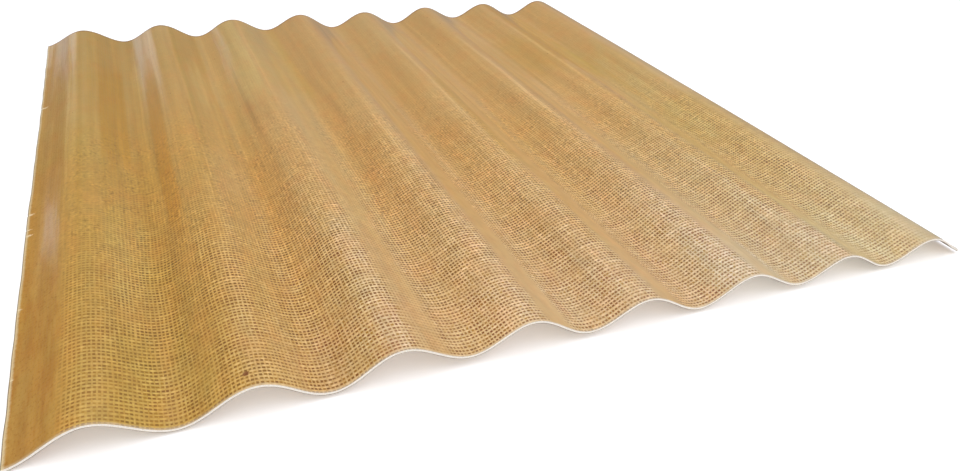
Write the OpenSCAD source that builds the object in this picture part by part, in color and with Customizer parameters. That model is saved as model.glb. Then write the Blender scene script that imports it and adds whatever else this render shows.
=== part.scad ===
// Corrugated roofing sheet: a thin, rigid laminate of open-weave natural fibre
// cloth set in resin, moulded to a sine corrugation and sawn square at its ends
// and sides.
//
// Frame: X runs across the waves, Y runs along them, Z is up. The origin is on
// the level surface that the sheet lies on, below the centre of its outline.

/* [Sheet] */
// Length of the sheet along the corrugations
sheet_length = 620; // [300:10:3000]
// Thickness of the laminate, measured square to its surface
sheet_thickness = 1.5; // [1:0.1:5]

/* [Corrugation] */
// Pitch from one crest to the next
wave_pitch = 76.2; // [65:0.1:180]
// Depth from a crest to a trough, measured on the same surface
wave_depth = 15; // [8:0.1:30]
// Number of crests across the sheet
wave_count = 8; // [2:1:14]

/* [Side edges] */
// How far the left edge stops short of the bottom of its trough
left_trim = 2.5; // [0:0.1:12]
// How far the right edge stops short of the bottom of its trough
right_trim = 7.4; // [0:0.1:12]

/* [Surface] */
// Flat strips that approximate one wave (an even number, so that each crest and each trough ends in a level strip)
strips_per_wave = 36; // [16:4:64]

/* [Hidden] */

half_pitch = wave_pitch / 2;
strip_w = wave_pitch / strips_per_wave;
half_t = sheet_thickness / 2;

// The first crest is at x = 0 and the last at (wave_count - 1) * wave_pitch
x_left = -half_pitch + left_trim;
x_right = (wave_count - 1) * wave_pitch + half_pitch - right_trim;

// Middle surface of the laminate and its slope at a distance x across the waves
function mid_z(x) = wave_depth / 2 * cos(360 * x / wave_pitch);
function mid_slope(x) = -wave_depth * PI / wave_pitch * sin(360 * x / wave_pitch);

// Point at a distance d from the middle surface, measured square to it
function skin(x, d) =
    let (s = mid_slope(x), n = sqrt(1 + s * s))
    [x - d * s / n, mid_z(x) + d / n];

// Stations across the sheet: the two edges, and the strip borders between them.
// The borders lie half a strip to either side of every crest and every trough.
first_border = ceil(x_left / strip_w - 0.5 + 0.05);
last_border = floor(x_right / strip_w - 0.5 - 0.05);
stations = concat(
    [x_left],
    [for (i = [first_border : last_border]) (i + 0.5) * strip_w],
    [x_right]
);

upper_line = [for (x = stations) skin(x, half_t)];
lower_line = [for (i = [len(stations) - 1 : -1 : 0]) skin(stations[i], -half_t)];
section = concat(upper_line, lower_line);

// Extent of the section, used to centre it and to set it on the ground
x_min = min([for (p = section) p[0]]);
x_max = max([for (p = section) p[0]]);
z_min = min([for (p = section) p[1]]);

// The sheet: its section pushed along the corrugations
module corrugated_sheet() {
    color([0.80, 0.67, 0.46])
    translate([-(x_min + x_max) / 2, sheet_length / 2, -z_min])
    rotate([90, 0, 0])
    linear_extrude(height = sheet_length)
    polygon(section);
}

corrugated_sheet();
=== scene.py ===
import math

import bpy
import numpy as np
from mathutils import Matrix, Vector


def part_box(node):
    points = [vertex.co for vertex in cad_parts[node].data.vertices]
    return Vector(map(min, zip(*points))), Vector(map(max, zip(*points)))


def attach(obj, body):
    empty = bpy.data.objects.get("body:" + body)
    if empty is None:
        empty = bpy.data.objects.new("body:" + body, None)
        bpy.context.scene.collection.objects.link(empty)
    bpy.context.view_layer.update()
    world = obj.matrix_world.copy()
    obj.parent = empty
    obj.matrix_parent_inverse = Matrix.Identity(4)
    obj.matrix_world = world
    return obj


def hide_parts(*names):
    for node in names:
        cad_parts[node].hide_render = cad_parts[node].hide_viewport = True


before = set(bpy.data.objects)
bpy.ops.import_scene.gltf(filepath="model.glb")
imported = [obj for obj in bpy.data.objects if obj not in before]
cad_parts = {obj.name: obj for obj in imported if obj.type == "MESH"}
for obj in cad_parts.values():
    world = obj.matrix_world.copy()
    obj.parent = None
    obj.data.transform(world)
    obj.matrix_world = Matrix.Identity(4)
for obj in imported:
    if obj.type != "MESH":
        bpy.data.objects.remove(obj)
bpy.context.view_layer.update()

# ---------------------------------------------------------------- the sheet's own numbers, in metres
PITCH, DEPTH, THICK, WAVES, LENGTH = 0.0762, 0.015, 0.0015, 8, 0.620
LEFT_TRIM, RIGHT_TRIM = 0.0025, 0.0074
HALF_T = THICK / 2
X_LEFT = -PITCH / 2 + LEFT_TRIM
X_RIGHT = (WAVES - 1) * PITCH + PITCH / 2 - RIGHT_TRIM
lo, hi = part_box("corrugated_sheet")
Z_MID = lo.z + (hi.z - lo.z) / 2  # the waves' middle height


def mid_z(x):
    return DEPTH / 2 * np.cos(2 * np.pi * x / PITCH)


def slope(x):
    return -DEPTH * np.pi / PITCH * np.sin(2 * np.pi * x / PITCH)


# The section's outline reaches a little past its middle line at both side edges.
def out_x(x, d):
    s = slope(x)
    return x - d * s / math.sqrt(1 + s * s)


X_MID = (min(out_x(X_LEFT, HALF_T), out_x(X_LEFT, -HALF_T)) + max(out_x(X_RIGHT, HALF_T), out_x(X_RIGHT, -HALF_T))) / 2
HALF_W = (X_RIGHT - X_LEFT) / 2

# Length along the wavy section, measured from the left edge
_x = np.linspace(X_LEFT - 0.01, X_RIGHT + 0.01, 60000)
_s = np.concatenate([[0], np.cumsum(np.hypot(np.diff(_x), np.diff(mid_z(_x))))])
_s -= np.interp(X_LEFT, _x, _s)


def arc(x):
    return np.interp(x, _x, _s)


ARC = float(arc(X_RIGHT))


def ripples(count, low, high, seed):
    """A smooth random function of a length in metres, about -1 to 1."""
    r = np.random.default_rng(seed)
    f = 1 / r.uniform(low, high, count)
    p = r.uniform(0, 2 * np.pi, count)
    a = r.uniform(0.5, 1, count) / math.sqrt(count)
    return lambda t: sum(a[i] * np.sin(2 * np.pi * f[i] * t + p[i]) for i in range(count))


edge_front, edge_back = ripples(6, 0.02, 0.25, 1), ripples(6, 0.02, 0.25, 2)
edge_left, edge_right = ripples(7, 0.015, 0.2, 3), ripples(7, 0.015, 0.2, 4)

# Small nicks in the left edge: (place along the sheet, depth, half length)
NICKS = [(0.130, 0.0004, 0.0016), (-0.067, 0.0004, 0.0014), (-0.088, 0.0003, 0.0012)]


def columns():
    x = np.linspace(X_LEFT + 0.0012, X_RIGHT - 0.0012, WAVES * 29)
    return np.concatenate([[X_LEFT + 0.00014], [X_LEFT + 0.0005], x, [X_RIGHT - 0.0005], [X_RIGHT - 0.00014]])


def rows():
    y = list(np.linspace(-LENGTH / 2 + 0.0012, LENGTH / 2 - 0.0012, 166))
    for at, _, half in NICKS:
        y += [at + half * k for k in (-1.1, -0.6, -0.25, 0.1, 0.45, 0.9)]
    y += [-LENGTH / 2 + 0.00014, -LENGTH / 2 + 0.0005, LENGTH / 2 - 0.0005, LENGTH / 2 - 0.00014]
    y = np.array(sorted(y))
    keep = [0] + [i for i in range(1, len(y)) if y[i] - y[i - 1] > 0.00025]
    return y[keep]


CX, CY = columns(), rows()
NX, NY = len(CX), len(CY)

# Hand work: each trough and crest, from the left, stands up to a millimetre or so off its true place (in mm)
ASIDE_FRONT = np.array([-0.3, -0.1, 0.7, 1.1, 0.3, 0.4, 1.0, -0.1, -0.3, -0.4, 0.1, -0.1, 1.6, 1.0, 0.9, 0.5, 0.0, 0.0])
ASIDE_BACK = np.array([0.0, 0.3, 2.2, 1.0, 0.5, 0.1, 0.1, 0.4, 0.2, 0.0, -0.3, -0.6, -0.1, 0.2, -0.1, 0.0, 0.0, 0.0])
RISE_FRONT = np.array([0.0, -0.3, -0.3, -0.5, -0.6, 0.8, 1.7, 0.4, -0.2, -1.5, -1.0, -0.1, 0.8, -0.6, 1.0, -0.2, 0.0, 0.1])
RISE_BACK = np.array([-0.1, -1.0, -0.8, -1.0, -1.1, -0.2, 0.5, 0.3, -1.5, -1.3, -1.4, 0.0, 0.8, 0.6, 0.6, 0.9, 1.1, 1.1])
RISE_MIDDLE = np.array([0.0] * 15 + [1.0, 1.0, 1.0])


def place(x, y, d):
    """World position of a point at section place x, length place y and distance d from the middle surface."""
    x, y = np.asarray(x, float), np.asarray(y, float)
    x, y = x + 0 * y, y + 0 * x
    # The left edge isn't sawn quite parallel to the waves
    slant = np.interp((y + LENGTH / 2) * 1000, [0, 200, 440, 620], [-1.05, -1.0, 0.75, 1.0]) / 1000
    x = x + slant * np.clip(1 - (x - X_LEFT) / 0.03, 0, 1) ** 2
    t = (x - (X_LEFT + X_RIGHT) / 2) / HALF_W
    w = (y + LENGTH / 2) / LENGTH
    s = slope(x)
    n = np.sqrt(1 + s * s)
    px = x - d * s / n - X_MID
    pz = mid_z(x) + d / n
    # The edges: sawn by hand, so a little uneven
    near_l = np.clip(1 - (x - X_LEFT) / 0.012, 0, 1) ** 2
    near_r = np.clip(1 - (X_RIGHT - x) / 0.012, 0, 1) ** 2
    near_f = np.clip(1 - (y + LENGTH / 2) / 0.012, 0, 1) ** 2
    near_b = np.clip(1 - (LENGTH / 2 - y) / 0.012, 0, 1) ** 2
    px = px + near_l * 0.00022 * edge_left(y) + near_r * 0.00022 * edge_right(y)
    py = y + near_f * 0.00022 * edge_front(x) + near_b * 0.00022 * edge_back(x)
    for at, deep, half in NICKS:
        k = np.clip(1 - np.abs(y - at) / half, 0, 1)
        px = px + deep * np.clip(1 - (x - X_LEFT) / 0.004, 0, 1) * k ** 0.7
    # Waves: each a touch higher or lower and to one side, changing slowly along the sheet
    idx = (x - 0.0) / (PITCH / 2) + 1
    i0 = np.clip(np.floor(idx).astype(int), 0, len(RISE_FRONT) - 2)
    f = np.clip(idx - i0, 0, 1)
    f = f * f * (3 - 2 * f)
    for_place = lambda table: (table[i0] * (1 - f) + table[i0 + 1] * f) / 1000
    pz = pz + for_place(RISE_FRONT) * (1 - w) + for_place(RISE_BACK) * w + for_place(RISE_MIDDLE) * 4 * w * (1 - w)
    px = px + for_place(ASIDE_FRONT) * (1 - w) + for_place(ASIDE_BACK) * w
    # Hand lay-up: the skin swells and sinks by a tenth of a millimetre, in long streaks
    pz = pz + 0.00007 * np.sin(x / 0.0051 + 2.1 * np.sin(y / 0.083 + x / 0.05)) * np.sin(y / 0.061 + x / 0.017)
    # The thin panel isn't quite flat: its middle stands up a few millimetres
    pz = pz + (0.0033 * (1 - w) + 0.00175 * w) * (1 - t * t)
    return np.stack([px + 0 * py, py + 0 * px, pz + Z_MID + 0 * py], -1)


def build_sheet():
    xx, yy = np.meshgrid(CX, CY)
    top = place(xx, yy, HALF_T).reshape(-1, 3)
    bottom = place(xx, yy, -HALF_T).reshape(-1, 3)
    verts = [top, bottom]
    grid = np.arange(NX * NY).reshape(NY, NX)
    # the outline of the grid, counter-clockwise from above, starting front left
    loop = list(grid[0, :]) + list(grid[1:, -1]) + list(grid[-1, -2::-1]) + list(grid[-2:0:-1, 0])
    lx, ly = xx.ravel()[loop], yy.ravel()[loop]
    ox = np.where(lx <= CX[0] + 1e-9, X_LEFT, np.where(lx >= CX[-1] - 1e-9, X_RIGHT, lx))
    oy = np.where(ly <= CY[0] + 1e-9, -LENGTH / 2, np.where(ly >= CY[-1] - 1e-9, LENGTH / 2, ly))
    rings, ds = [], [HALF_T - 0.00014, 0.0003, -0.0003, -HALF_T + 0.00014]
    r = np.random.default_rng(77)
    for k, d in enumerate(ds):
        p = place(ox, oy, d)
        if k in (1, 2):  # a sawn face isn't perfectly plane
            j = r.normal(0, 0.00004, len(p))
            p[:, 0] += np.where(ox <= X_LEFT + 1e-9, j, np.where(ox >= X_RIGHT - 1e-9, -j, 0)) * 1.0
            p[:, 1] += np.where(oy <= -LENGTH / 2 + 1e-9, np.abs(j), np.where(oy >= LENGTH / 2 - 1e-9, -np.abs(j), 0))
        rings.append(p)
        verts.append(p)
    n_top, n_loop = NX * NY, len(loop)
    base = [2 * n_top + k * n_loop for k in range(4)]
    faces, mats, cloth, bake, cut = [], [], [], [], []
    s_of, y_of = arc(CX), CY

    def uv_cloth(i, j):
        return (float(s_of[i]), float(y_of[j] + LENGTH / 2))

    def uv_bake(i, j):
        s, y = uv_cloth(i, j)
        return (0.002 + 0.996 * s / ARC, 0.04 + 0.958 * y / LENGTH)

    for j in range(NY - 1):
        for i in range(NX - 1):
            a, b, c, d = grid[j, i], grid[j, i + 1], grid[j + 1, i + 1], grid[j + 1, i]
            corners = [(i, j), (i + 1, j), (i + 1, j + 1), (i, j + 1)]
            faces.append((a, b, c, d)); mats.append(0)
            cloth += [uv_cloth(*q) for q in corners]; bake += [uv_bake(*q) for q in corners]; cut += [(0.0, 0.0)] * 4
            faces.append((a + n_top, d + n_top, c + n_top, b + n_top)); mats.append(0)
            corners = [corners[0], corners[3], corners[2], corners[1]]
            cloth += [uv_cloth(*q) for q in corners]; bake += [uv_bake(*q) for q in corners]; cut += [(0.0, 0.0)] * 4
    rings_idx = [np.array(loop)] + [b + np.arange(n_loop) for b in base] + [np.array(loop) + n_top]
    depth = [HALF_T] + ds + [-HALF_T]
    step = np.linalg.norm(np.diff(np.vstack([rings[1], rings[1][:1]]), axis=0), axis=1)
    run = np.concatenate([[0], np.cumsum(step)])
    loop_cloth = [(float(arc(ox[k])), float(oy[k] + LENGTH / 2)) for k in range(n_loop)]
    # the four sides' share of the baked map: a narrow strip each, below the cloth
    side_start = [0, NX - 1, NX - 1 + NY - 1, 2 * (NX - 1) + NY - 1]
    side_end = side_start[1:] + [n_loop]
    for k in range(n_loop):
        k2 = (k + 1) % n_loop
        side = max(q for q in range(4) if side_start[q] <= k)
        u0 = (k - side_start[side]) / (side_end[side] - side_start[side])
        u1 = (k + 1 - side_start[side]) / (side_end[side] - side_start[side])
        for q in range(5):
            a, b = rings_idx[q][k], rings_idx[q][k2]
            c, d = rings_idx[q + 1][k2], rings_idx[q + 1][k]
            faces.append((a, d, c, b)); mats.append(1)
            v0 = (side * 0.0095 + 0.0015) + 0.0065 * (HALF_T - depth[q]) / THICK
            v1 = (side * 0.0095 + 0.0015) + 0.0065 * (HALF_T - depth[q + 1]) / THICK
            bake += [(u0, v0), (u0, v1), (u1, v1), (u1, v0)]
            cloth += [loop_cloth[k], loop_cloth[k], loop_cloth[k2], loop_cloth[k2]]
            cut += [(run[k], depth[q]), (run[k], depth[q + 1]), (run[k + 1], depth[q + 1]), (run[k + 1], depth[q])]
    me = bpy.data.meshes.new("laminate_sheet")
    co = np.vstack(verts)
    me.from_pydata([tuple(map(float, v)) for v in co], [], [tuple(int(q) for q in f) for f in faces])
    me.update()
    for name, data in (("OFBake", bake), ("cloth", cloth), ("cut", cut)):
        layer = me.uv_layers.new(name=name, do_init=False)
        layer.uv.foreach_set("vector", np.array(data, np.float32).ravel())
    me.polygons.foreach_set("material_index", np.array(mats, np.int32))
    me.polygons.foreach_set("use_smooth", np.array([m == 0 for m in mats], bool))
    # sharp where the skin meets the cut
    sharp = set()
    for ring in (rings_idx[0], rings_idx[-1]):
        for k in range(n_loop):
            sharp.add(tuple(sorted((int(ring[k]), int(ring[(k + 1) % n_loop])))))
    attr = me.attributes.new("sharp_edge", "BOOLEAN", "EDGE")
    ev = np.empty(len(me.edges) * 2, np.int32)
    me.edges.foreach_get("vertices", ev)
    ev = np.sort(ev.reshape(-1, 2), axis=1)
    flags = np.fromiter(((int(a), int(b)) in sharp for a, b in ev), bool, len(ev))
    attr.data.foreach_set("value", flags)
    bad = me.validate(verbose=False)
    if bad:
        raise RuntimeError("the sheet's mesh had to be repaired")
    ob = bpy.data.objects.new("laminate_sheet", me)
    bpy.context.scene.collection.objects.link(ob)
    return ob


# ---------------------------------------------------------------- material helpers
class Nodes:
    def __init__(self, name):
        self.mat = bpy.data.materials.new(name)
        self.mat.use_nodes = True
        self.nt = self.mat.node_tree
        self.nt.nodes.clear()

    def new(self, kind, **props):
        n = self.nt.nodes.new(kind)
        for k, v in props.items():
            setattr(n, k, v)
        return n

    def put(self, socket, value):
        if isinstance(value, bpy.types.NodeSocket):
            self.nt.links.new(value, socket)
        elif value is not None:
            socket.default_value = value

    def m(self, op, a, b=None, c=None, clamp=False):
        n = self.new("ShaderNodeMath", operation=op, use_clamp=clamp)
        for i, v in enumerate((a, b, c)):
            if v is not None:
                self.put(n.inputs[i], v)
        return n.outputs[0]

    def add(self, a, b): return self.m("ADD", a, b)
    def sub(self, a, b): return self.m("SUBTRACT", a, b)
    def mul(self, a, b): return self.m("MULTIPLY", a, b)

    def xyz(self, x=0.0, y=0.0, z=0.0):
        n = self.new("ShaderNodeCombineXYZ")
        for i, v in enumerate((x, y, z)):
            self.put(n.inputs[i], v)
        return n.outputs[0]

    def noise(self, vector, detail=2.0, rough=0.5, distort=0.0, scale=1.0):
        n = self.new("ShaderNodeTexNoise")
        n.noise_dimensions = "3D"
        self.put(n.inputs["Vector"], vector)
        n.inputs["Scale"].default_value = scale
        n.inputs["Detail"].default_value = detail
        n.inputs["Roughness"].default_value = rough
        n.inputs["Distortion"].default_value = distort
        return n.outputs["Fac"]

    def white(self, vector):
        n = self.new("ShaderNodeTexWhiteNoise")
        n.noise_dimensions = "3D"
        self.put(n.inputs["Vector"], vector)
        return n.outputs["Value"]

    def span(self, v, a, b, c=0.0, d=1.0, smooth=False):
        """v from a..b to c..d, clamped."""
        n = self.new("ShaderNodeMapRange")
        n.clamp = not smooth  # a smooth step never leaves its range
        n.interpolation_type = "SMOOTHSTEP" if smooth else "LINEAR"
        for i, x in enumerate((v, a, b, c, d)):
            self.put(n.inputs[i], x)
        return n.outputs[0]

    def mix(self, f, a, b):
        n = self.new("ShaderNodeMix", data_type="RGBA")
        n.clamp_factor = True
        self.put(n.inputs[0], f)
        self.put(n.inputs[6], a)
        self.put(n.inputs[7], b)
        return n.outputs[2]

    def tint(self, colour, by):
        """colour times a grey number."""
        n = self.new("ShaderNodeVectorMath", operation="SCALE")
        self.put(n.inputs[0], colour)
        self.put(n.inputs[3], by)
        return n.outputs[0]


def lin(r, g, b):
    f = lambda v: v / 12.92 if v <= 0.04045 else ((v + 0.055) / 1.055) ** 2.4
    return (f(r / 255), f(g / 255), f(b / 255), 1.0)


WARP_MM, WEFT_MM = 2.27, 2.86  # thread spacing along the section and along the sheet


def laminate():
    k = Nodes("jute_in_resin")
    uv = k.new("ShaderNodeUVMap", uv_map="cloth").outputs[0]
    sep = k.new("ShaderNodeSeparateXYZ")
    k.put(sep.inputs[0], uv)
    EDGE, Y = k.mul(sep.outputs[0], 1000.0), k.mul(sep.outputs[1], 1000.0)
    S = k.sub(EDGE, 1.0)

    def field(sx, sy, seed, detail=2.0, rough=0.5):
        return k.noise(k.xyz(k.mul(S, 1 / sx), k.mul(Y, 1 / sy), seed), detail, rough)

    def blot(sx, sy, seed, a, b):
        return k.span(field(sx, sy, seed, 3.0, 0.55), a, b, 0.0, 1.0, smooth=True)

    def times(colour, factor, rgb):
        n = k.new("ShaderNodeMix", data_type="RGBA", blend_type="MULTIPLY")
        k.put(n.inputs[0], factor); k.put(n.inputs[6], colour); k.put(n.inputs[7], (*rgb, 1.0))
        return n.outputs[2]

    # Threads wander: long bows over the whole cloth, short ones thread by thread
    bow_u = k.mul(k.sub(field(110, 150, 3.1), 0.5), 2.0)
    bow_v = k.mul(k.sub(field(140, 110, 8.7), 0.5), 3.2)
    wob_u = k.mul(k.sub(field(5.5, 34, 12.3, 3.0), 0.5), 0.8)
    wob_v = k.mul(k.sub(field(34, 6.5, 17.9, 3.0), 0.5), 0.8)
    U = k.add(k.add(k.mul(S, 1 / WARP_MM), bow_u), wob_u)
    V = k.add(k.add(k.mul(Y, 1 / WEFT_MM), bow_v), wob_v)
    iu, jv = k.m("FLOOR", U), k.m("FLOOR", V)
    fu, fv = k.sub(k.m("FRACT", U), 0.5), k.sub(k.m("FRACT", V), 0.5)

    # Each thread has its own thickness and tone, and slubs along it
    ru, rv = k.white(k.xyz(iu, 3.3, 1.7)), k.white(k.xyz(jv, 7.7, 5.1))
    slub_u = k.noise(k.xyz(k.mul(iu, 5.37), k.mul(Y, 1 / 7.0), 2.0), 3.0, 0.65)
    slub_v = k.noise(k.xyz(k.mul(jv, 6.13), k.mul(S, 1 / 8.0), 9.0), 3.0, 0.65)
    half_u = k.add(k.add(0.008, k.mul(ru, 0.06)), k.mul(slub_u, 0.36))
    half_v = k.add(k.add(0.060, k.mul(rv, 0.05)), k.mul(slub_v, 0.34))

    def round_top(f, half):
        q = k.m("DIVIDE", f, half)
        return k.m("SQRT", k.m("MAXIMUM", k.sub(1.0, k.mul(q, q)), 0.0))

    hu, hv = round_top(fu, half_u), round_top(fv, half_v)
    par = k.m("MODULO", k.m("ABSOLUTE", k.add(iu, jv)), 2.0)
    sign = k.sub(1.0, k.mul(par, 2.0))
    over_u = k.mul(k.m("COSINE", k.mul(fv, math.pi)), sign)
    over_v = k.mul(k.mul(k.m("COSINE", k.mul(fu, math.pi)), sign), -1.0)
    zu = k.mul(hu, k.add(0.57, k.mul(over_u, 0.34)))
    zv = k.mul(hv, k.add(0.68, k.mul(over_v, 0.30)))
    H = k.m("MAXIMUM", zu, zv)
    warp_on_top = k.m("GREATER_THAN", zu, zv)

    # Fibres: fine streaks along each thread
    fib_u = k.noise(k.xyz(k.mul(S, 1 / 0.22), k.mul(Y, 1 / 3.0), 4.0), 2.0, 0.6)
    fib_v = k.noise(k.xyz(k.mul(S, 1 / 3.0), k.mul(Y, 1 / 0.22), 6.0), 2.0, 0.6)
    knot_u = k.noise(k.xyz(k.mul(iu, 3.91), k.mul(Y, 1 / 2.4), 14.0), 1.0, 0.5)
    knot_v = k.noise(k.xyz(k.mul(jv, 4.57), k.mul(S, 1 / 2.6), 19.0), 1.0, 0.5)
    tone_u = k.add(k.mul(ru, 0.08), k.add(k.mul(slub_u, 0.35), k.add(k.mul(knot_u, 0.55), k.mul(fib_u, 0.20))))
    tone_v = k.add(k.mul(rv, 0.08), k.add(k.mul(slub_v, 0.35), k.add(k.mul(knot_v, 0.55), k.mul(fib_v, 0.20))))
    tone_v = k.add(tone_v, 0.04)
    tone = k.add(k.mul(tone_u, warp_on_top), k.mul(tone_v, k.sub(1.0, warp_on_top)))

    # Where the resin is thick or hazy the cloth shows less; the first strip on the left has none to see
    left_strip = k.span(k.add(S, k.mul(k.sub(field(14, 40, 61.0), 0.5), 6.0)), 24.0, 32.0, 1.0, 0.0, smooth=True)
    open_weave = k.span(field(13, 22, 21.0, 4.0, 0.62), 0.36, 0.60, 0.70, 1.06, smooth=True)
    fade_to = k.add(k.span(S, 140.0, 290.0, 320.0, 400.0), k.span(S, 44.0, 56.0, -70.0, 0.0))
    far = k.span(k.m("DIVIDE", Y, fade_to), 0.18, 1.0, 1.0, 0.14, smooth=True)
    theta = k.mul(k.sub(S, 35.6), 2 * math.pi / 83.45)
    rough_edge = k.mul(k.sub(field(5, 6, 109.0, 3.0, 0.6), 0.5), 0.42)
    from_middle = k.m("COSINE", k.sub(theta, k.span(S, 250.0, 480.0, 1.57, 1.20)))
    pooled = k.mul(k.span(k.add(from_middle, k.add(rough_edge, k.span(S, 400.0, 480.0, 0.0, 0.08))), 0.60, 0.88, 0.0, 1.0, smooth=True), k.span(S, 110.0, 300.0, 0.12, 0.95))
    pooled = k.m("MAXIMUM", pooled, k.span(S, 606.0, 618.0, 0.0, 0.8, smooth=True))
    amber_side = k.m("MAXIMUM", k.span(S, 104.0, 140.0, 0.77, 1.0, smooth=True), k.span(Y, 70.0, 140.0, 0.77, 0.95))
    brown_strip = k.add(k.mul(k.span(S, 88.0, 94.0, 0.0, 0.15), k.span(S, 104.0, 110.0, 1.0, 0.0)), k.span(S, 46.0, 54.0, 0.18, 0.0))
    near_corner = k.mul(k.span(S, 460.0, 510.0, 0.0, 0.14), k.span(Y, 30.0, 90.0, 1.0, 0.0))
    amber_side = k.mul(amber_side, k.sub(1.0, k.add(brown_strip, near_corner)))
    show = k.mul(k.mul(k.mul(open_weave, far), k.mul(amber_side, k.sub(1.0, pooled))), k.sub(1.0, k.mul(left_strip, 0.92)))

    # From amber on the left to straw on the right; each hole in the cloth has filled with resin differently
    east = k.span(S, 52.0, 215.0, 0.0, 1.0, smooth=True)
    light = k.mix(east, lin(221, 181, 98), lin(229, 195, 140))
    dark = k.mix(east, lin(178, 132, 46), lin(188, 146, 78))
    thread = k.mix(k.span(tone, 0.38, 0.80, 0.0, 1.0), dark, light)
    hole_cell = k.xyz(k.m("FLOOR", k.add(U, 0.5)), k.m("FLOOR", k.add(V, 0.5)), 2.2)
    filled = k.mul(k.m("POWER", k.white(hole_cell), 2.4), 0.75)
    hole_dark = k.mix(blot(26, 40, 31.0, 0.35, 0.65), k.mix(east, lin(112, 74, 8), lin(124, 80, 26)), k.mix(east, lin(120, 68, 8), lin(131, 73, 27)))
    hole = k.mix(filled, hole_dark, k.mix(east, lin(168, 122, 30), lin(174, 128, 46)))
    cover = k.span(H, 0.03, 0.27, 0.0, 1.0, smooth=True)
    shade = k.span(H, 0.05, 0.95, 0.80, 1.10)
    # a warp dips into shade where it passes between two wefts
    shade = k.mul(shade, k.sub(1.0, k.mul(warp_on_top, k.span(k.m("ABSOLUTE", fv), 0.22, 0.5, 0.0, 0.09, smooth=True))))
    woven = k.mix(cover, hole, k.tint(thread, shade))
    # farther back the holes are darker against the threads
    punch = k.mul(k.span(Y, 35.0, 140.0, 0.0, 0.36), k.mul(k.span(Y, 270.0, 380.0, 1.0, 0.0), k.span(S, 45.0, 60.0)))
    woven = k.tint(woven, k.add(1.0, k.mul(punch, k.sub(cover, 0.80))))
    plain = k.mix(east, lin(186, 143, 65), lin(197, 157, 96))
    body = k.mix(show, plain, woven)

    # The tints are multiplied together first, and the cloth by them once: the renderer has room for few values at a time
    wash = (1.0, 1.0, 1.0, 1.0)
    # Large patches of colour: orange, olive and dull pink where the resin or the jute differs
    wash = times(wash, k.mul(blot(55, 150, 41.0, 0.46, 0.70), k.span(S, 90.0, 200.0, 0.9, 0.5)), (1.00, 0.94, 0.84))
    wash = times(wash, k.mul(blot(70, 110, 47.0, 0.48, 0.72), k.span(S, 90.0, 170.0, 0.9, 0.2)), (0.95, 0.99, 0.86))
    hue = field(12.0, 26.0, 151.0, 3.0, 0.6)
    wash = times(wash, k.span(hue, 0.50, 0.66, 0.0, 1.0), (1.025, 0.965, 0.95))
    wash = times(wash, k.span(hue, 0.50, 0.34, 0.0, 1.0), (0.975, 1.01, 1.04))
    # painted sheen: the front right made paler and bluer, a veil of reflected light
    front_right_sheen = k.mul(k.span(S, 70.0, 420.0, 0.0, 1.0, smooth=True), k.span(Y, 10.0, 270.0, 1.0, 0.0, smooth=True))
    wash = times(wash, front_right_sheen, (1.01, 1.08, 1.38))
    # painted shade: darker and browner in and just past each trough, strongest over the left half from about 40 mm back
    trough_shade_area = k.mul(k.span(S, 310.0, 450.0, 1.0, 0.25), k.mul(k.span(Y, 40.0, 210.0, 0.35, 1.0), k.span(Y, 380.0, 480.0, 1.0, 0.6)))
    trough_shade = k.span(k.m("COSINE", k.sub(theta, 3.25)), 0.30, 0.95, 0.0, 1.0, smooth=True)
    wash = times(wash, k.mul(trough_shade, trough_shade_area), (0.94, 0.91, 0.84))
    past_trough_shade = k.span(k.m("COSINE", k.sub(theta, 4.15)), 0.20, 0.95, 0.0, 1.0, smooth=True)
    wash = times(wash, k.mul(past_trough_shade, trough_shade_area), (0.98, 0.94, 0.87))
    wash = times(wash, k.mul(past_trough_shade, k.mul(trough_shade_area, k.span(S, 190.0, 260.0, 1.0, 0.0, smooth=True))), (0.99, 0.955, 0.86))
    # painted sheen: the near right corner made paler and bluer, reflected light
    corner_sheen = k.mul(k.span(S, 400.0, 470.0, 0.0, 1.0, smooth=True), k.span(Y, 20.0, 130.0, 1.0, 0.0, smooth=True))
    wash = times(wash, corner_sheen, (1.03, 1.12, 1.28))
    amber = k.mul(k.span(S, 31.0, 38.0, 0.0, 1.0, smooth=True), k.span(S, 88.0, 103.0, 1.0, 0.0, smooth=True))
    wash = times(wash, amber, (0.92, 0.955, 1.02))
    # painted sheen: paler and bluer on the left part toward the back, except mid-way down the slopes facing right
    mid_left_sheen = k.mul(k.span(S, 60.0, 170.0, 1.0, 0.0, smooth=True), k.span(Y, 290.0, 430.0, 0.0, 1.0, smooth=True))
    mid_left_sheen = k.mul(mid_left_sheen, k.sub(1.0, k.span(k.m("SINE", theta), 0.15, 0.65, 0.0, 1.0, smooth=True)))
    wash = times(wash, mid_left_sheen, (1.02, 1.09, 1.42))
    # painted sheen: a paler, much bluer band where the left strip meets the weave, from about 120 mm back
    strip_edge_sheen = k.mul(k.span(S, 22.5, 26.0, 0.0, 1.0, smooth=True), k.span(S, 31.5, 36.0, 1.0, 0.0, smooth=True))
    wash = times(wash, k.mul(strip_edge_sheen, k.span(Y, 120.0, 420.0, 0.0, 1.0)), (1.12, 1.20, 1.60))
    strip_tone = k.span(field(7, 38, 67.0, 4.0, 0.65), 0.36, 0.64, 0.0, 1.0, smooth=True)
    wash = times(wash, k.mul(left_strip, k.mul(k.add(0.05, k.mul(strip_tone, 0.95)), k.span(Y, 110.0, 260.0, 1.0, 0.45))), (0.88, 0.76, 0.60))
    speck = k.span(field(1.5, 2.4, 73.0, 3.0, 0.65), 0.34, 0.47, 1.0, 0.0, smooth=True)
    wash = times(wash, k.mul(speck, k.mul(left_strip, 0.8)), (0.80, 0.72, 0.52))
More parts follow.
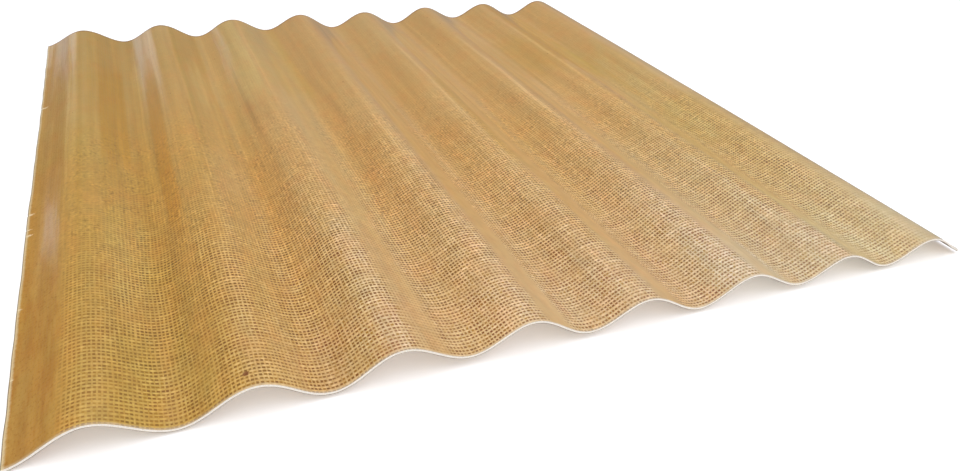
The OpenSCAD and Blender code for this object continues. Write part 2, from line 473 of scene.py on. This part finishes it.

    # Strips and lines of tint along the sheet: browner ones where the resin ran thick, and paler, bluer ones that are
    # partly thin resin and partly painted sheen, a veil of reflected light; the thin pale lines on the crests are
    # painted highlights.
    # (from S, to S, from Y, to Y, softness across, tint)
    S_wavy = k.add(S, k.add(k.mul(k.sub(field(60, 120, 137.0, 1.0), 0.5), 5.0), k.mul(k.sub(field(4, 16, 139.0, 2.0), 0.5), 1.6)))
    Y_wavy = k.add(Y, k.mul(k.sub(field(7, 60, 149.0, 2.0), 0.5), 90.0))
    for s0, s1, y0, y1, soft, rgb in (
            (-2, 13, 125, 420, 5, (1.06, 1.14, 1.36)), (-2, 12, -50, 90, 8, (0.95, 0.97, 1.12)), (38, 50, 200, 640, 5, (1.04, 1.07, 1.24)), (51, 72, 300, 500, 4, (1.00, 0.92, 0.62)),
            (51, 75, 120, 215, 8, (1.05, 1.11, 1.22)), (50, 74, -50, 70, 8, (0.97, 0.98, 0.80)), (80, 91, 200, 520, 3, (1.11, 1.16, 1.24)),
            (92, 104, 190, 500, 3, (1.03, 0.96, 0.74)), (116, 129, -50, 140, 8, (1.00, 1.04, 1.20)), (129, 134, 290, 640, 3, (0.91, 0.94, 0.78)),
            (134, 158, 290, 640, 6, (0.96, 0.95, 0.76)), (134, 156, 60, 215, 6, (0.98, 0.96, 0.84)), (159, 178, 300, 640, 5, (1.03, 1.12, 1.24)), (158, 176, -50, 60, 6, (0.93, 0.92, 0.98)),
            (180, 204, 390, 640, 5, (1.04, 1.16, 1.18)), (197, 211, -50, 140, 7, (1.01, 1.05, 1.22)), (213, 246, 130, 400, 8, (1.02, 1.07, 1.08)),
            (208, 252, 400, 640, 8, (0.98, 1.02, 0.85)), (255, 275, 130, 300, 8, (0.985, 0.95, 0.92)), (264, 280, -50, 80, 8, (1.09, 1.07, 1.10)), (283, 292, -50, 300, 5, (1.04, 1.06, 1.14)), (373, 380, 200, 400, 3, (0.97, 0.93, 0.68)),
            (434, 484, -50, 140, 8, (1.03, 1.07, 1.18)), (456, 463, 300, 480, 3, (1.00, 0.97, 0.80)), (535, 582, 390, 640, 6, (0.98, 0.94, 0.64)), (574, 589, 210, 500, 4, (0.94, 0.96, 0.88)), (470, 532, -50, 250, 10, (0.965, 1.02, 1.05)), (538, 640, -50, 280, 10, (0.95, 1.01, 0.91)), (566, 640, 280, 460, 10, (0.97, 1.03, 1.03)), (589, 600, 210, 420, 4, (1.00, 1.09, 1.18)),
            (614, 636, -50, 480, 5, (1.00, 1.03, 1.20)), (588, 612, -50, 60, 8, (1.00, 0.955, 0.90)), (-20, 660, 55, 300, 10, (1.00, 0.985, 0.94)),
            (17, 32, 480, 640, 4, (0.91, 0.86, 0.76)), (83, 97, 490, 640, 4, (1.00, 1.03, 1.26)), (112, 128, 490, 640, 5, (1.00, 1.06, 1.18)), (130, 160, 490, 640, 6, (0.98, 0.97, 0.81)),
            (370, 382, 60, 400, 4, (1.00, 0.995, 0.88)), (376, 400, 500, 640, 6, (1.05, 1.11, 1.17)), (400, 416, 120, 330, 5, (0.985, 0.99, 0.89)), (484, 552, 390, 500, 8, (0.96, 0.95, 0.82)),
            (530, 545, 60, 400, 5, (1.00, 0.99, 0.88)), (534, 551, 400, 640, 5, (0.94, 0.89, 0.72)), (9, 22, 200, 300, 5, (1.00, 1.01, 1.30)), (138, 151, 400, 500, 5, (1.07, 1.14, 1.28)),
            (486, 532, -50, 60, 8, (0.96, 0.92, 0.85)), (105, 121, -50, 130, 6, (0.97, 0.93, 0.87)), (149, 162, -50, 130, 5, (0.95, 0.92, 0.86)), (300, 317, -50, 130, 6, (1.03, 1.07, 1.15)),
            # pale and bluer toward the back between the crests: painted reflection
            (462, 490, 470, 640, 12, (1.04, 1.08, 1.16)), (326, 368, 500, 640, 10, (1.00, 1.05, 1.12)),
            (25.5, 27.5, 150, 640, 1, (1.10, 1.14, 1.24)), (85, 87, 300, 640, 1, (1.08, 1.10, 1.16)), (105, 107.5, 250, 640, 1, (1.10, 1.12, 1.18)),
            (126.5, 128.5, 200, 400, 1.5, (0.88, 0.86, 0.78)), (181, 184, 330, 480, 1.5, (0.88, 0.88, 0.86)), (152, 154.5, 280, 480, 1.5, (1.08, 1.10, 1.14)),
            # painted highlights: thin pale lines along three crests
            (369, 371.5, 280, 500, 1.5, (1.12, 1.15, 1.22)), (450, 453, 260, 500, 1.5, (1.14, 1.17, 1.26)), (531, 534, 280, 520, 1.5, (1.12, 1.15, 1.22))):
        across_ = k.mul(k.span(S_wavy, s0 - soft / 2, s0 + soft / 2, 0.0, 1.0, smooth=True), k.span(S_wavy, s1 - soft / 2, s1 + soft / 2, 1.0, 0.0, smooth=True))
        along_ = k.mul(k.span(Y_wavy, y0 - 25.0, y0 + 25.0, 0.0, 1.0, smooth=True), k.span(Y_wavy, y1 - 25.0, y1 + 25.0, 1.0, 0.0, smooth=True))
        wash = times(wash, k.mul(across_, along_), rgb)
    whole = k.new("ShaderNodeMix", data_type="RGBA", blend_type="MULTIPLY")
    k.put(whole.inputs[0], 1.0)
    k.put(whole.inputs[6], body)
    k.put(whole.inputs[7], wash)
    body = whole.outputs[2]

    # Dark flecks of bark in the jute
    v = k.new("ShaderNodeTexVoronoi", feature="F1")
    v.inputs["Scale"].default_value = 1.0
    k.put(v.inputs["Vector"], k.xyz(k.mul(S, 1 / 11.0), k.mul(Y, 1 / 9.0), 0.0))
    fleck = k.mul(k.m("LESS_THAN", v.outputs["Distance"], 0.07), k.m("GREATER_THAN", k.white(v.outputs["Position"]), 0.92))
    body = k.mix(k.mul(fleck, 0.6), body, lin(110, 62, 24))

    bite = k.mul(k.sub(field(1.3, 1.3, 91.0, 2.0), 0.5), 1.3)

    def mark(s0, y0, rs, ry):
        ds, dy = k.mul(k.sub(S, s0), 1 / rs), k.mul(k.sub(Y, y0), 1 / ry)
        far_off = k.m("SQRT", k.add(k.mul(ds, ds), k.mul(dy, dy)))
        return k.span(k.add(far_off, bite), 0.55, 1.0, 1.0, 0.0, smooth=True)

    body = k.mix(k.mul(mark(118.0, 11.5, 1.9, 2.2), 0.85), body, lin(112, 58, 22))
    for y0, reach, wide in ((440.0, 8.0, 2.0), (243.0, 5.0, 1.6), (222.0, 4.0, 1.4), (214.0, 6.0, 1.8), (128.0, 3.0, 1.6), (64.0, 2.5, 1.2)):
        body = k.mix(k.mul(mark(-1.0, y0, reach, wide), 0.75), body, lin(238, 214, 172))

    # Rubbed, paler rims where the sheet was cut, a thin dark line right at the left edge, and a darker rim along the
    # back edge
    chip = k.mul(k.sub(field(2.2, 2.2, 103.0, 3.0, 0.6), 0.5), 1.6)
    body = k.mix(k.span(k.add(Y, chip), 0.2, 2.6, 0.55, 0.0, smooth=True), body, lin(206, 190, 162))
    body = k.mix(k.span(k.add(EDGE, k.mul(chip, 0.9)), 0.6, 2.4, 0.72, 0.0, smooth=True), body, lin(222, 206, 164))
    body = k.mix(k.span(k.add(EDGE, k.mul(chip, 0.25)), 0.3, 0.75, 0.8, 0.0, smooth=True), body, lin(92, 70, 50))
    body = k.mix(k.span(k.add(Y, k.mul(chip, 2.0)), 615.5, 618.5, 0.0, 0.55, smooth=True), body, lin(112, 82, 60))

    # Long streaks along the waves, every 20 mm or so, plainer toward the back: a lighter line on each low ridge in the
    # resin and a darker one beside it, painted highlight and painted shade, since the ridges are not in the relief
    along = k.add(S, k.add(k.mul(k.sub(field(40, 170, 71.0, 1.0), 0.5), 7.0), k.mul(k.sub(field(7, 26, 113.0, 3.0, 0.6), 0.5), 3.0)))
    cell = k.m("FLOOR", k.mul(k.sub(along, 19.0), 1 / 19.7))
    off = k.mul(k.sub(k.white(k.xyz(cell, 6.6, 3.1)), 0.5), 6.0)
    across = k.sub(k.sub(k.mul(k.m("FRACT", k.mul(k.sub(along, 19.0), 1 / 19.7)), 19.7), 9.85), off)
    power = k.mul(k.span(k.white(k.xyz(cell, 9.4, 8.8)), 0.0, 1.0, 0.25, 1.0), k.span(field(40, 170, 79.0, 2.0), 0.35, 0.6, 0.35, 1.0))
    power = k.mul(power, k.span(Y, 110.0, 330.0, 0.10, 0.70, smooth=True))
    # painted highlight along each ridge, and painted shade just beside it
    crest = k.mul(k.span(k.m("ABSOLUTE", across), 0.5, 2.0, 1.0, 0.0, smooth=True), power)
    dip = k.mul(k.span(k.m("ABSOLUTE", k.add(across, 4.2)), 0.6, 2.6, 1.0, 0.0, smooth=True), power)
    fine = k.mul(k.sub(k.noise(k.xyz(k.mul(along, 1 / 7.5), k.mul(Y, 1 / 130.0), 83.0), 2.0, 0.5), 0.5), k.span(Y, 90.0, 380.0, 0.5, 1.0, smooth=True))
    patchy = k.mul(k.sub(field(9.0, 13.0, 87.0, 3.0, 0.62), 0.5), k.span(Y, 180.0, 420.0, 1.0, 0.30, smooth=True))
    dashes = field(2.4, 3.2, 117.0, 1.0, 0.5)
    flecks = k.mul(k.sub(k.sub(dashes, 0.48), k.mul(k.span(dashes, 0.42, 0.28, 0.0, 1.0), 0.10)), k.mul(k.span(Y, 90.0, 170.0, 0.3, 1.0, smooth=True), k.span(Y, 280.0, 400.0, 1.0, 0.12, smooth=True)))
    in_clumps = k.span(field(16.0, 24.0, 131.0, 3.0, 0.6), 0.40, 0.60, 0.35, 1.25, smooth=True)
    patchy = k.add(patchy, k.mul(k.mul(flecks, k.mul(in_clumps, 1.9)), k.sub(1.0, pooled)))
    patchy = k.mul(patchy, k.sub(1.0, k.mul(left_strip, 0.7)))
    calm = k.span(Y, 360.0, 460.0, 1.0, 0.62)
    streak = k.add(1.0, k.add(k.mul(patchy, 0.42), k.mul(calm, k.add(k.mul(fine, 0.36), k.sub(k.mul(crest, 0.15), k.mul(dip, 0.13))))))
    body = k.tint(body, streak)

    p = k.new("ShaderNodeBsdfPrincipled")
    k.put(p.inputs["Base Color"], body)
    k.put(p.inputs["Roughness"], k.span(H, 0.0, 0.9, 0.42, 0.58))
    p.inputs["IOR"].default_value = 1.45
    p.inputs["Specular IOR Level"].default_value = 0.25
    p.inputs["Coat Weight"].default_value = 0.75
    p.inputs["Coat Roughness"].default_value = 0.14
    p.inputs["Coat IOR"].default_value = 1.5

    # Relief: the threads under the resin, and slow ripples in the resin itself
    ripple = k.noise(k.xyz(k.mul(S, 1 / 8.5), k.mul(Y, 1 / 95.0), 51.0), 2.0, 0.5)
    slow = k.mul(ripple, 0.24)
    b1 = k.new("ShaderNodeBump")
    b1.inputs["Strength"].default_value = 1.0
    b1.inputs["Distance"].default_value = 0.001
    k.put(b1.inputs["Height"], k.add(slow, k.add(k.mul(k.mul(H, show), 0.14), k.mul(dashes, 0.02))))
    k.put(p.inputs["Normal"], b1.outputs[0])
    b2 = k.new("ShaderNodeBump")
    b2.inputs["Strength"].default_value = 1.0
    b2.inputs["Distance"].default_value = 0.001
    k.put(b2.inputs["Height"], k.add(slow, k.add(k.mul(k.mul(H, show), 0.03), k.mul(dashes, 0.012))))
    k.put(p.inputs["Coat Normal"], b2.outputs[0])
    out = k.new("ShaderNodeOutputMaterial")
    k.put(out.inputs[0], p.outputs[0])
    return k.mat


def cut_edge():
    k = Nodes("sawn_edge")
    uv = k.new("ShaderNodeUVMap", uv_map="cut").outputs[0]
    sep = k.new("ShaderNodeSeparateXYZ")
    k.put(sep.inputs[0], uv)
    R, D = k.mul(sep.outputs[0], 1000.0), k.mul(sep.outputs[1], 1000.0)
    saw = k.noise(k.xyz(k.mul(R, 1 / 0.5), k.mul(D, 1 / 1.2), 1.0), 3.0, 0.6)
    patch = k.noise(k.xyz(k.mul(R, 1 / 22.0), 0.0, 5.0), 2.0, 0.5)
    # yarn ends: a row of faint ovals a thread's spacing apart
    fu = k.sub(k.m("FRACT", k.mul(R, 1 / WARP_MM)), 0.5)
    oval = k.sub(1.0, k.m("SQRT", k.add(k.mul(k.mul(fu, fu), 9.0), k.mul(k.mul(D, D), 2.6))))
    oval = k.span(oval, 0.0, 0.35, 0.0, 1.0, smooth=True)
    colour = k.mix(k.span(saw, 0.3, 0.7), lin(202, 195, 184), lin(224, 219, 211))
    colour = k.mix(k.mul(oval, k.span(patch, 0.40, 0.75, 0.05, 0.5)), colour, lin(214, 196, 162))
    # the resin skin under the cloth shows as a thin brown line, made dark as a painted shade along the lower edge
    colour = k.mix(k.span(k.add(D, k.mul(k.sub(patch, 0.5), 0.5)), -0.52, -0.30, 1.0, 0.0, smooth=True), colour, lin(112, 92, 70))
    p = k.new("ShaderNodeBsdfPrincipled")
    k.put(p.inputs["Base Color"], colour)
    p.inputs["Roughness"].default_value = 0.75
    b = k.new("ShaderNodeBump")
    b.inputs["Strength"].default_value = 0.5
    b.inputs["Distance"].default_value = 0.0002
    k.put(b.inputs["Height"], saw)
    k.put(p.inputs["Normal"], b.outputs[0])
    out = k.new("ShaderNodeOutputMaterial")
    k.put(out.inputs[0], p.outputs[0])
    return k.mat


sheet = build_sheet()
sheet.data.materials.append(laminate())
sheet.data.materials.append(cut_edge())
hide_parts("corrugated_sheet")
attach(sheet, "root")

# ---------------------------------------------------------------- stage, light and camera
floor_me = bpy.data.meshes.new("floor")
F = 12.0
floor_me.from_pydata([(-F, -F, 0), (F, -F, 0), (F, F, 0), (-F, F, 0)], [], [(0, 1, 2, 3)])
floor = bpy.data.objects.new("floor", floor_me)
bpy.context.scene.collection.objects.link(floor)
fm = bpy.data.materials.new("floor_paint")
fm.use_nodes = True
fb = fm.node_tree.nodes["Principled BSDF"]
fb.inputs["Base Color"].default_value = (0.80, 0.80, 0.80, 1)
fb.inputs["Emission Color"].default_value = (1.0, 1.0, 1.0, 1)
fb.inputs["Emission Strength"].default_value = 0.28
fb.inputs["Roughness"].default_value = 0.9
fb.inputs["Specular IOR Level"].default_value = 0.2
floor_me.materials.append(fm)
floor.location.z = lo.z - 0.0002
floor.visible_glossy = False  # the sheet's gloss mirrors a dim room, not the white floor

# a white wall round the floor, behind the sheet in the low views only: it neither lights nor mirrors
N_WALL, R_WALL, H_WALL = 48, 11.0, 9.0
ring = [(R_WALL * math.cos(2 * math.pi * i / N_WALL), R_WALL * math.sin(2 * math.pi * i / N_WALL)) for i in range(N_WALL)]
wall_me = bpy.data.meshes.new("wall")
wall_me.from_pydata([(x, y, -0.01) for x, y in ring] + [(x, y, H_WALL) for x, y in ring], [],
                    [(i, i + N_WALL, (i + 1) % N_WALL + N_WALL, (i + 1) % N_WALL) for i in range(N_WALL)])
wall = bpy.data.objects.new("wall", wall_me)
bpy.context.scene.collection.objects.link(wall)
wm = bpy.data.materials.new("wall_paint")
wm.use_nodes = True
wb = wm.node_tree.nodes["Principled BSDF"]
wb.inputs["Base Color"].default_value = (0.80, 0.80, 0.80, 1)
wb.inputs["Emission Color"].default_value = (1.0, 1.0, 1.0, 1)
wb.inputs["Emission Strength"].default_value = 0.80
wb.inputs["Roughness"].default_value = 0.9
wb.inputs["Specular IOR Level"].default_value = 0.0
wall_me.materials.append(wm)
wall.visible_diffuse = wall.visible_glossy = wall.visible_transmission = wall.visible_shadow = False

world = bpy.data.worlds.new("studio")
bpy.context.scene.world = world
world.use_nodes = True
wt = world.node_tree
bg = wt.nodes["Background"]
# a soft dome: dim around the horizon and bright overhead
where = wt.nodes.new("ShaderNodeTexCoord")
toward = wt.nodes.new("ShaderNodeVectorMath")
toward.operation = "DOT_PRODUCT"
wt.links.new(where.outputs["Generated"], toward.inputs[0])
toward.inputs[1].default_value = tuple(Vector((0.09, -0.12, 0.97)).normalized())
ramp = wt.nodes.new("ShaderNodeMapRange")
ramp.interpolation_type = "SMOOTHSTEP"
for i, val in enumerate((0.46, 1.00, 0.17, 2.18)):
    ramp.inputs[i + 1].default_value = val
wt.links.new(toward.outputs["Value"], ramp.inputs[0])
parts = wt.nodes.new("ShaderNodeSeparateXYZ")
wt.links.new(where.outputs["Generated"], parts.inputs[0])
side = wt.nodes.new("ShaderNodeMapRange")
for i, val in enumerate((-0.7, 0.7, 0.0, 1.0)):
    side.inputs[i + 1].default_value = val
wt.links.new(parts.outputs["X"], side.inputs[0])
cool = wt.nodes.new("ShaderNodeMix")
cool.data_type = "RGBA"
wt.links.new(side.outputs[0], cool.inputs[0])
cool.inputs[6].default_value = (1.0, 0.955, 0.85, 1)  # warmer from the left
cool.inputs[7].default_value = (0.995, 1.03, 1.18, 1)  # cooler from the right
wt.links.new(cool.outputs[2], bg.inputs["Color"])
# and paler low down on the far right, as from a window wall
aside = wt.nodes.new("ShaderNodeVectorMath")
aside.operation = "DOT_PRODUCT"
wt.links.new(where.outputs["Generated"], aside.inputs[0])
aside.inputs[1].default_value = (0.95, 0.31, 0.0)
low_side = wt.nodes.new("ShaderNodeMapRange")
low_side.interpolation_type = "SMOOTHSTEP"
for i, val in enumerate((0.38, 0.78, 0.0, 1.0)):
    low_side.inputs[i + 1].default_value = val
wt.links.new(aside.outputs["Value"], low_side.inputs[0])
height = wt.nodes.new("ShaderNodeMapRange")
for i, val in enumerate((-0.10, 0.50, 0.018, 0.125)):
    height.inputs[i + 1].default_value = val
wt.links.new(parts.outputs["Z"], height.inputs[0])
pale = wt.nodes.new("ShaderNodeMath")
pale.operation = "MULTIPLY"
wt.links.new(low_side.outputs[0], pale.inputs[0])
wt.links.new(height.outputs[0], pale.inputs[1])
total = wt.nodes.new("ShaderNodeMath")
total.operation = "ADD"
wt.links.new(ramp.outputs[0], total.inputs[0])
wt.links.new(pale.outputs[0], total.inputs[1])
wt.links.new(total.outputs[0], bg.inputs["Strength"])


def softbox(name, at, look, size, power, colour=(1, 1, 1)):
    li = bpy.data.lights.new(name, "AREA")
    li.shape = "RECTANGLE"
    li.size, li.size_y = size
    li.energy = power
    li.color = colour
    ob = bpy.data.objects.new(name, li)
    bpy.context.scene.collection.objects.link(ob)
    ob.location = at
    ob.rotation_mode = "QUATERNION"
    ob.rotation_quaternion = (Vector(look) - Vector(at)).to_track_quat("-Z", "Y")
    return ob


softbox("front", (0.0, -2.3, 0.75), (0, -0.3, 0), (3.6, 1.1), 26.0, (1.0, 0.99, 0.97))
softbox("far_left", (-0.915, 3.06, 0.485), (-0.205, 0.21, 0.02), (0.27, 0.31), 0.24, (0.80, 0.90, 1.0))
softbox("far_left_low", (-1.10, 3.05, 0.235), (-0.285, 0.25, 0.015), (0.22, 0.23), 0.14, (0.80, 0.90, 1.0))
softbox("left", (-1.674, 2.54, 0.30), (-0.285, -0.094, 0.012), (0.19, 0.26), 0.22, (0.76, 0.88, 1.0))

cam_data = bpy.data.cameras.new("camera")
cam = bpy.data.objects.new("camera", cam_data)
bpy.context.scene.collection.objects.link(cam)
YAW, PITCH_A, ROLL = -0.4248, -0.5363, -0.0580
cam_data.sensor_width = 36.0
cam_data.lens = 812.8 * 36.0 / 960.0
cy_, sy_ = math.cos(YAW), math.sin(YAW)
cp_, sp_ = math.cos(PITCH_A), math.sin(PITCH_A)
cr_, sr_ = math.cos(ROLL), math.sin(ROLL)
Rz = Matrix(((cy_, -sy_, 0), (sy_, cy_, 0), (0, 0, 1)))
Rx = Matrix(((1, 0, 0), (0, cp_, -sp_), (0, sp_, cp_)))
Rr = Matrix(((cr_, 0, sr_), (0, 1, 0), (-sr_, 0, cr_)))
R = Rz @ Rx @ Rr
right, forward, up = R.col[0], R.col[1], R.col[2]
M = Matrix((right, up, -forward)).transposed().to_4x4()
# the fitted place is measured from the first crest, the front edge and the top skin's middle height
M.translation = Vector((0.04922 - X_MID, -0.31584 - LENGTH / 2, 0.27954 + Z_MID + HALF_T))
cam.matrix_world = M
cam_data.clip_start, cam_data.clip_end = 0.01, 50
cam_data.dof.use_dof = False
bpy.context.scene.camera = cam

sc = bpy.context.scene
sc.view_settings.view_transform = "Standard"
sc.view_settings.look = "None"
sc.view_settings.exposure = 0.0
sc.view_settings.gamma = 1.0
